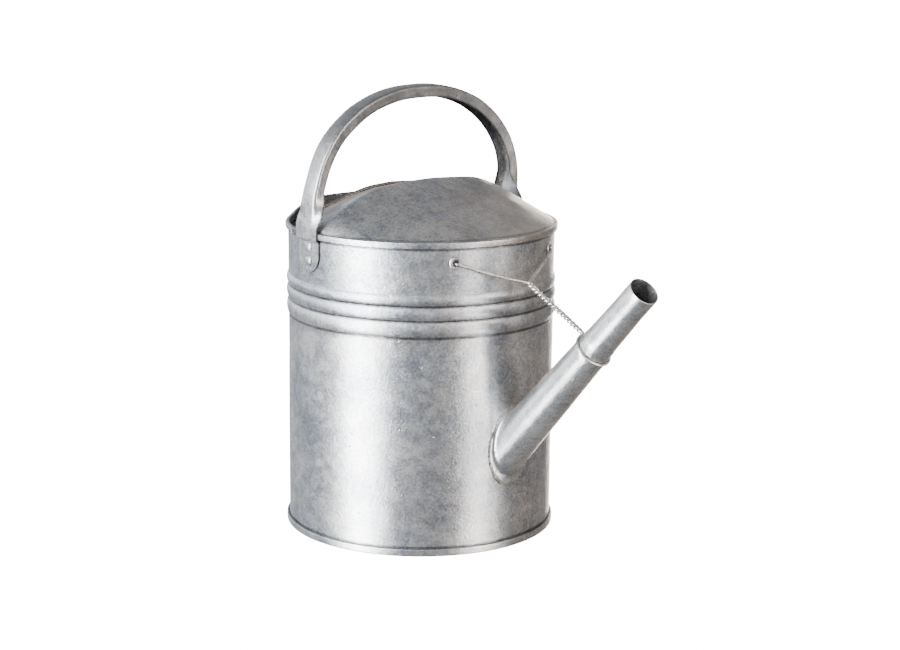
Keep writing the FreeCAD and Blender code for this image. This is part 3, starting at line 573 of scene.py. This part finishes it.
def cut_opening(piece):
    """Oval hole behind the spout, cut with a tapered plug on the spout's axis,
    and the two round holes that hold the eyelets."""
    turn = np.linspace(0, 2 * math.pi, 96, endpoint=False)
    ring = np.cos(turn)[:, None] * UP + np.sin(turn)[:, None] * SIDE
    runs = np.array([-45.0, 40.0])
    points = [JOINT + AXIS * t + ring * (TUBE_END - 0.75 + TAPER * (TUBE_LENGTH - t))
              for t in runs]
    for side in (-1, 1):
        way = np.array([math.cos(EYELET_TURN), side * math.sin(EYELET_TURN), 0.0])
        across = np.array([-way[1], way[0], 0.0])
        ring = np.cos(turn)[:, None] * across + np.sin(turn)[:, None] * [0, 0, 1.0]
        points += [np.array([0, 0, EYELET_Z]) + way * r + ring * EYELET_HOLE
                   for r in (BODY_R - 12, BODY_R + 12)]
    mesh = bpy.data.meshes.new("plug")
    count = len(turn)
    quads = []
    for start in range(0, len(points) * count, 2 * count):
        quads += loops(2, count, start).tolist()
        quads += [list(range(start, start + count)),
                  list(range(start + count, start + 2 * count))]
    mesh.from_pydata((np.concatenate(points) * MM).tolist(), [], quads)
    work = bmesh.new()
    work.from_mesh(mesh)
    bmesh.ops.recalc_face_normals(work, faces=work.faces)
    work.to_mesh(mesh)
    work.free()
    plug = bpy.data.objects.new("plug", mesh)
    bpy.context.scene.collection.objects.link(plug)
    cut = piece.modifiers.new("opening", "BOOLEAN")
    cut.operation, cut.object, cut.solver = "DIFFERENCE", plug, "EXACT"
    bpy.context.view_layer.update()
    seen = piece.evaluated_get(bpy.context.evaluated_depsgraph_get())
    result = bpy.data.meshes.new_from_object(seen)
    piece.modifiers.clear()
    bpy.data.objects.remove(plug)
    piece.data = result
    result.set_sharp_from_angle(angle=math.radians(30))


def make_base():
    """Raised bottom with its edge folded round the foot of the wall."""
    fold = rounded([(106.4, 0.0), (112.2, 0.0), (112.2, 6.2), (110.06, 6.2),
                    (110.06, 1.05), (107.95, 1.05), (107.95, 6.0)], 1.25, 6)
    bottom = np.array([(0.0, 6.0), (0.0, 5.2), (105.6, 5.2)])
    start = len(fold) - 3
    profile = np.vstack([fold[:start], [(107.95, 5.9), (106.0, 6.0)], bottom])
    points = turned(profile, 360)
    rows, cols = points.shape[:2]
    return make_piece("base_and_foot_seam", points, loops(rows, cols, wrap_rows=True),
                      BODY_ZINC, ["base_disc"], sharp=35)


# ------------------------------------------------------------------ hood

FALL = [(0.0, 1.0), (0.3, 1.013), (0.5, 1.06), (0.6, 1.03), (0.7, 0.99),
        (0.83, 0.91), (0.93, 0.87), (1.0, 0.74)]
HEM = [(0.0, 1.0), (0.2, 0.95), (0.39, 0.81), (0.49, 0.70), (0.62, 0.552),
       (0.73, 0.452), (0.86, 0.30), (1.0, 0.0)]


def hood_height(x, share):
    """Lower of two slopes, softly joined at the crest: a conical front that
    falls to the rim, and a ruled back from the crest to the free edge."""
    half = np.sqrt(np.maximum(HOOD_R ** 2 - x * x, 0))

    def front(at, y):
        """Front slope: fall times the distance to the rim along X."""
        reach = np.sqrt(np.maximum(HOOD_R ** 2 - y * y, 0))
        share_out = np.minimum(np.abs(y) / HOOD_R, 1)
        return FRONT_FALL * table(FALL, share_out) * (reach - at)

    ahead = front(x, share * half)
    edge = HEM_RISE * table(HEM, np.abs(share))
    ridge = front(CREST_X, share * math.sqrt(HOOD_R ** 2 - CREST_X ** 2))
    behind = ridge + (edge - ridge) * (CREST_X - x) / (CREST_X - HEM_X)
    soft = np.minimum(0.55, ridge / 18.0)
    middle = (ahead + behind) / 2
    return middle - np.sqrt(((ahead - behind) / 2) ** 2 + soft ** 2) + soft * 0.6


def make_hood():
    """Skin z = rim + hood height (0.8 mm thick), fold over the wall, and the
    rolled free edge; all one sheet."""
    first = math.asin(30.0 / HOOD_R)
    x = np.r_[np.linspace(HEM_X, 0, 22), np.linspace(1.5, 12, 10),
              np.linspace(14, 28, 7),
              HOOD_R * np.sin(np.linspace(first, math.pi / 2, 44))]
    share = np.sin(np.linspace(-math.pi / 2, math.pi / 2, 141))
    X, S = np.meshgrid(x, share, indexing="ij")
    Y = S * np.sqrt(np.maximum(HOOD_R ** 2 - X * X, 0))
    Z = RIM_LEVEL - 0.15 + hood_height(X, S)
    flat = np.stack([X, Y, Z], axis=-1)
    inside = fade((HOOD_R - np.hypot(X, Y)) / 18.0)
    dent = 0.30 * ripple(flat, 60.0, 21) + 0.10 * ripple(flat, 22.0, 22) - 0.25
    Z = Z + inside * dent
    top = np.stack([X, Y, Z], axis=-1)
    under = top - [0, 0, SHEET]
    ring = np.concatenate([top, under[:, ::-1]], axis=1)
    rows, cols = ring.shape[:2]
    quads = [loops(rows, cols), caps(rows, cols)]
    points = [ring.reshape(-1, 3)]

    fold = rounded([(108.2, 253.4), (110.06, 253.4), (110.06, 249.0), (112.3, 249.0),
                    (112.3, 254.4), (108.2, 254.4)], 1.1, 5)
    band = turned(fold, 300, -HOOD_REACH, 2 * HOOD_REACH)
    n, m = band.shape[:2]
    offset = rows * cols
    quads.append(loops(n, m, offset))
    points.append(band.reshape(-1, 3))
    skin = make_piece("hood_sheet", np.vstack(points), np.vstack(quads),
                      HOOD_ZINC, ["hood"], sharp=42)
    add_ends(skin.data)

    half = math.sqrt(HOOD_R ** 2 - HEM_X ** 2)
    y = np.linspace(-half + 2.2, half - 2.2, 161)
    z = RIM_LEVEL + 0.35 + hood_height(np.full_like(y, HEM_X), y / half)
    line = np.c_[np.full_like(y, HEM_X - 0.1), y, z]
    line[:, 2] += 0.2 * ripple(line, 40.0, 23)
    mesh = wire_mesh("hood_rolled_edge", line, 1.8)
    finish_piece("hood_rolled_edge", mesh, HOOD_ZINC, [])
    return skin


def add_ends(mesh):
    """Closes open ends with one face each."""
    work = bmesh.new()
    work.from_mesh(mesh)
    open_edges = [edge for edge in work.edges if edge.is_boundary]
    if open_edges:
        bmesh.ops.holes_fill(work, edges=open_edges, sides=0)
    bmesh.ops.recalc_face_normals(work, faces=work.faces)
    work.to_mesh(mesh)
    work.free()
    mesh.polygons.foreach_set("use_smooth", [True] * len(mesh.polygons))
    mesh.set_sharp_from_angle(angle=math.radians(38))


# ------------------------------------------------------------------ handle


def handle_line():
    """Outer face of the strap: lug against the wall, step over the rim, a
    slightly squared ellipse over the top.  Columns y, z, lug share, turned
    share, width share; from the near lug to the far one."""
    low = LUG_LOW + LUG_HALF - LUG_HALF * np.cos(np.radians(np.linspace(3, 90, 22)))
    step = RIM_LEVEL - RIM_BAND - 0.1 - LUG_STEP
    z = np.r_[low, np.linspace(238, step - 0.4, 6), np.linspace(step, 249.2, 13),
              np.linspace(250, 269.6, 24)]
    over = LUG_FACE + LUG_OUT * fade((z - step) / LUG_STEP)
    y = np.sqrt(over ** 2 - LUG_X ** 2)
    risen = np.clip((z - STRAP_START) / (SPRING - STRAP_START), 0, 1)
    y = y - (y[-1] - SPAN) * risen ** 2
    below = ((LUG_LOW + LUG_HALF - z) / LUG_HALF).clip(0)
    width = np.sqrt(np.clip(1 - below ** 2, 0, 1))
    turn = np.radians(np.linspace(1.2, 90, 90))
    power = 2 / 2.15
    arch_y = SPAN * np.cos(turn).clip(0) ** power
    arch_z = SPRING + (TOP - SPRING) * np.sin(turn) ** power
    y, z = np.r_[-y, -arch_y], np.r_[z, arch_z]
    width = np.r_[width, np.ones(90)]
    y, z = np.r_[y, -y[-2::-1]], np.r_[z, z[-2::-1]]
    width = np.r_[width, width[-2::-1]]
    lug = 1 - fade((z - STRAP_START) / 22.0)
    turned_in = fade((z - 255.0) / 34.0)
    return y, z, lug, turned_in, width


def strap_face(depth, across, line, normal):
    """Points of the strap at a depth below its outer face.  Across the strap
    the sheet runs flat, bends through up to 96 degrees and runs straight."""
    y0, z0, lug, turned_in, width = [c[:, None] for c in line]
    flat, corner = STRAP_FLAT, STRAP_BEND * math.pi / 2
    lug_edge = LUG_HALF - flat - corner
    edge = lug_edge + (TURNED_EDGE - lug_edge) * turned_in
    a = np.abs(across)[None, :] * (flat + corner + edge) * width
    angle = np.maximum(math.radians(EDGE_TURN) * turned_in, 1e-4)
    radius = corner / angle
    bend = angle * np.clip((a - flat) / corner, 0, 1)
    run = np.maximum(a - flat - corner, 0)
    crown = 0.5 * turned_in * (1 - np.clip(a / flat, 0, 1) ** 2)
    x = np.minimum(a, flat) + (radius - depth) * np.sin(bend) + run * np.cos(angle)
    inward = radius - (radius - depth) * np.cos(bend) + run * np.sin(angle) - crown
    lean = 1 - fade((z0 - STRAP_START) / 48.0)
    centre = HANDLE_X + (LUG_X - HANDLE_X) * lean
    x = centre + np.sign(across)[None, :] * x
    round_r = np.hypot(y0, centre)
    wrapped = np.abs(y0) - np.sqrt(np.maximum((round_r - inward) ** 2 - x * x, 0))
    inward = inward + lug * (wrapped - inward)
    return np.stack([x, y0 + normal[0][:, None] * inward,
                     z0 + normal[1][:, None] * inward], axis=-1)


def make_handle():
    """Strap with both faces and both edges as one closed grid along its line;
    'edge' is 1 at the cut edges and raised along the two bends."""
    line = handle_line()
    y, z = line[0], line[1]
    dy, dz = np.gradient(y), np.gradient(z)
    size = np.hypot(dy, dz)
    ny, nz = dz / size, -dy / size
    straight = z < STRAP_START
    ny = np.where(straight, -np.sign(y), ny)
    nz = np.where(straight, 0.0, nz)
    blend_in = fade((z - STRAP_START) / 8.0)
    nz = nz * blend_in
    size = np.hypot(ny, nz)
    normal = (ny / size, nz / size)
    across = np.linspace(-1, 1, 61)
    outer = strap_face(0.0, across, line, normal)
    inner = strap_face(STRAP, across, line, normal)
    wider = strap_face(STRAP / 2, np.array([-1.03, 1.03]), line, normal)
    ring = np.concatenate([outer, wider[:, 1:], inner[:, ::-1], wider[:, :1]], axis=1)
    high = fade((z - 256.5) / 12)[:, None]
    beaten = (fade((z - 257) / 4) * (1 - fade((z - 274) / 10)) * (y < 0))[:, None]
    shake = ripple(ring, 26.0, 31) * 0.18 + ripple(ring, 9.0, 32) * 0.05
    ring[..., 0] += shake * high
    shake = ripple(ring, 34.0, 33) * 0.16 + ripple(ring, 11.0, 34) * 0.3 * beaten
    ring[..., 1] += normal[0][:, None] * (shake + 0.16) * high
    ring[..., 2] += normal[1][:, None] * (shake + 0.16) * high
    rows, cols = ring.shape[:2]
    # painted shade: the edge mask darkens the cut edges and the two bends
    reach = 1 - np.abs(across)[None, :]
    bend = np.exp(-((np.abs(across)[None, :] - 0.47) / 0.05) ** 2) * line[3][:, None]
    rim = np.exp(-(reach / 0.05) ** 2)
    face = np.clip(0.55 * bend + rim, 0, 1)
    ends = np.ones((rows, 1))
    edge = np.concatenate([face, ends, face[:, ::-1], ends], axis=1)
    piece = make_piece("handle_strap", ring, loops(rows, cols),
                       STRAP_ZINC, ["handle"], sharp=50, edge=edge)
    add_ends(piece.data)
    return piece


# ------------------------------------------------------------------ spout

TURN = np.linspace(0, 2 * math.pi, 128, endpoint=False)
RING = np.cos(TURN)[:, None] * UP + np.sin(TURN)[:, None] * SIDE


def cone_point(t, grow):
    """Point at run t along the spout, grow outside the lower tube's surface."""
    t = np.broadcast_to(t, TURN.shape)[:, None]
    radius = TUBE_END + grow + TAPER * (TUBE_LENGTH - t)
    return JOINT + AXIS * t + RING * radius


def run_to_wall(grow, height):
    """Run at which the grown cone meets the cylinder 110 + height (Newton)."""
    t = np.zeros(len(TURN))
    grow = np.broadcast_to(grow, TURN.shape)[:, None]
    slope = AXIS - TAPER * RING
    for _ in range(12):
        p = JOINT + AXIS * t[:, None] + RING * (
            TUBE_END + grow + TAPER * (TUBE_LENGTH - t[:, None]))
        miss = p[:, 0] ** 2 + p[:, 1] ** 2 - (BODY_R + height) ** 2
        t = t - miss / (2 * (p[:, 0] * slope[:, 0] + p[:, 1] * slope[:, 1]))
    return t


def on_wall(grow, height):
    """Point of the grown cone that lies height above the wall."""
    t = run_to_wall(grow, height)[:, None]
    grow = np.broadcast_to(grow, TURN.shape)[:, None]
    return JOINT + AXIS * t + RING * (TUBE_END + grow + TAPER * (TUBE_LENGTH - t))


def make_tube():
    """Tapered tube; its foot flares in a quarter-ellipse fillet to a flange."""
    rows = []
    for angle in np.radians(np.linspace(0, 90, 8)):
        rows.append(on_wall(FLANGE * (1 - math.sin(angle)),
                            FLANGE_SHEET + FILLET * (1 - math.cos(angle))))
    start = run_to_wall(0.0, FLANGE_SHEET + FILLET)
    for share in np.linspace(0, 1, 40)[1:]:
        rows.append(cone_point(start + (TUBE_LENGTH - 0.4 - start) * share, 0.0))
    rows += [cone_point(TUBE_LENGTH - 0.1, -0.12), cone_point(TUBE_LENGTH, -0.35),
             cone_point(TUBE_LENGTH - 0.1, -0.6), cone_point(TUBE_LENGTH - 0.5, -0.7)]
    foot = run_to_wall(-0.7, 0.03)
    for share in np.linspace(0, 1, 20)[1:]:
        rows.append(cone_point(TUBE_LENGTH + (foot - TUBE_LENGTH) * share, -0.7))
    rows += [on_wall(0.5, 0.03), on_wall(2.8, 0.03), on_wall(3.1, 0.4)]
    points = np.array(rows)
    middle = points[9:46]
    outward = np.broadcast_to(RING, middle.shape)
    keep = fade((TUBE_LENGTH - (middle - JOINT) @ AXIS) / 12.0)
    dents = 0.10 * ripple(middle, 45.0, 41) * keep
    points[9:46] = middle + outward * dents[..., None]
    n, m = points.shape[:2]
    return make_piece("spout_lower_tube", points, loops(n, m, wrap_rows=True),
                      SPOUT_ZINC, ["spout_tube"], sharp=40)


def make_solder():
    """Uneven bead on the edge of the flange: its height and width change round
    the joint, and it is heaviest above the left side and at the lower left."""
    rough = ripple(RING * 15.0, 9.0, 51) * 0.35 + ripple(RING * 15.0, 3.6, 52) * 0.22
    near = np.exp(-((TURN - math.radians(305)) / 0.16) ** 2) \
        + np.exp(-((TURN - math.radians(222)) / 0.22) ** 2)
    heavy = 0.75 + 0.35 * rough + 0.4 * near
    rows = []
    for share in np.linspace(0, 1, 9):
        grow = 2.3 + (2.4 + 0.5 * rough) * share
        height = 0.55 * math.sin(math.pi * min(share * 1.02, 1)) ** 0.7 * heavy
        height = height + 0.62 * (1 - share)
        rows.append(on_wall(grow, np.maximum(height, 0.02)))
    rows += [on_wall(4.0, 0.01), on_wall(3.2, 0.01)]
    points = np.array(rows)
    n, m = points.shape[:2]
    return make_piece("spout_solder_bead", points, loops(n, m, wrap_rows=True),
                      SOLDER_TIN, ["spout_solder"], sharp=60)


def make_nozzle():
    """Sleeve pushed in the tube: swollen collar, taper, plain mouth."""
    end = TUBE_LENGTH
    plug = TUBE_END - TUBE_SHEET - NOZZLE_FIT
    mouth = end + NOZZLE_LENGTH
    outside = np.array([
        (plug, end - NOZZLE_SEAT), (plug, end + 1.4), (plug + 0.12, end + 2.4),
        (plug + 0.42, end + 3.4), (plug + 0.45, end + 5), (plug + 0.45, end + 9),
        (plug + 0.40, end + 11.2), (plug + 0.12, end + 12.4),
        (plug + 0.02, end + 13.6)])
    rest = np.linspace(end + 14.5, mouth - NOZZLE_STRAIGHT, 14)
    narrowed = (rest - end - 13.2) / (mouth - NOZZLE_STRAIGHT - end - 13.2)
    taper = plug + (NOZZLE_TIP - plug) * narrowed
    tip = [(NOZZLE_TIP, mouth - 16), (NOZZLE_TIP, mouth - 8),
           (NOZZLE_TIP, mouth - 0.5), (12.07, mouth - 0.12), (11.8, mouth),
           (11.53, mouth - 0.12), (NOZZLE_BORE, mouth - 0.5)]
    inner = [(NOZZLE_BORE, mouth - 12), (NOZZLE_BORE, mouth - NOZZLE_STRAIGHT),
             (plug - 0.6, end + 13), (plug - 0.7, end),
             (plug - 0.7, end - NOZZLE_SEAT)]
    profile = np.vstack([outside, np.c_[taper, rest], tip, inner])
    r, t = profile.T
    points = JOINT + AXIS * t[:, None, None] + RING[None] * r[:, None, None]
    n, m = points.shape[:2]
    keep = fade((t - end - 16) / 12) * fade((mouth - 6 - t) / 12)
    out = 0.05 * ripple(points, 30.0, 42) * keep[:, None]
    points = points + RING[None] * out[..., None]
    return make_piece("spout_nozzle_sleeve", points, loops(n, m, wrap_rows=True),
                      SPOUT_ZINC, ["spout_nozzle"], sharp=40)


# ------------------------------------------------------------------ wire brace


def make_brace():
    """One wire: hooked behind the near eyelet, along to the fork, twisted with
    itself, once round the nozzle, back down the twist to the far eyelet."""
    plug = TUBE_END - TUBE_SHEET - NOZZLE_FIT
    loop_r = plug + 0.25 + WIRE
    centre = JOINT + AXIS * (TUBE_LENGTH + WIRE + 0.3)
    crown = centre + UP * (loop_r + 0.6)
    along = crown - FORK
    length = np.linalg.norm(along)
    along = along / length
    out = np.cross(SIDE, along)
    turns = 8.5
    s = np.linspace(0, 1, 420)
    tight = 1.05 * fade(s / 0.03) * fade((1 - s) / 0.03) + 0.12

    def strand(phase):
        """Helix round the line from the fork to the crown of the loop."""
        angle = 2 * math.pi * turns * s + phase
        wander = 0.35 * np.sin(s * 7.0)[:, None] * out
        return FORK + along * (s * length)[:, None] + wander + tight[:, None] * (
            np.cos(angle)[:, None] * SIDE + np.sin(angle)[:, None] * out)

    around = np.linspace(0.10, 2 * math.pi - 0.10, 120)
    lean = 0.25 * np.sin(around)[:, None] * AXIS
    hoop = centre + lean + loop_r * (np.cos(around)[:, None] * UP
                                     - np.sin(around)[:, None] * SIDE)

    def arm(side):
        """Wire from the hooked end behind the wall, through the eyelet, to the fork."""
        turn = side * EYELET_TURN
        way = np.array([math.cos(turn), math.sin(turn), 0.0])
        level = np.array([0, 0, EYELET_Z])
        behind = level + way * (BODY_R - 3.1)
        knots = [behind - [0, 0, 7.0], behind - [0, 0, 2.0], behind + way * 0.9,
                 level + way * (BODY_R + 0.6) + [0, 0, -0.3],
                 level + way * (BODY_R + 3.4) + [0, -side * 1.5, -0.9]]
        knots = np.array(knots)
        last, first = knots[-1], FORK + np.array([0, side * 1.2, 0.3])
        sag = np.linspace(0, 1, 9)[1:-1, None]
        run = last + (first - last) * sag - np.array([0, 0, 0.9]) * np.sin(
            math.pi * sag)
        return smooth_line(np.vstack([knots, run, first]), 10)

    path = np.vstack([arm(-1), strand(math.pi)[4:-4], hoop,
                      strand(0.0)[4:-4][::-1], arm(1)[::-1]])
    mesh = wire_mesh("brace_wire", path, WIRE, sides=4)
    return finish_piece("brace_wire", mesh, WIRE_ZINC, ["wire_brace"], 60)


make_body()
make_base()
make_hood()
make_handle()
make_tube()
make_solder()
make_nozzle()
make_brace()
for name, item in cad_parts.items():
    if name.startswith(("rivet", "eyelet")):
        item.data.materials.clear()
        item.data.materials.append(RIVET_STEEL)
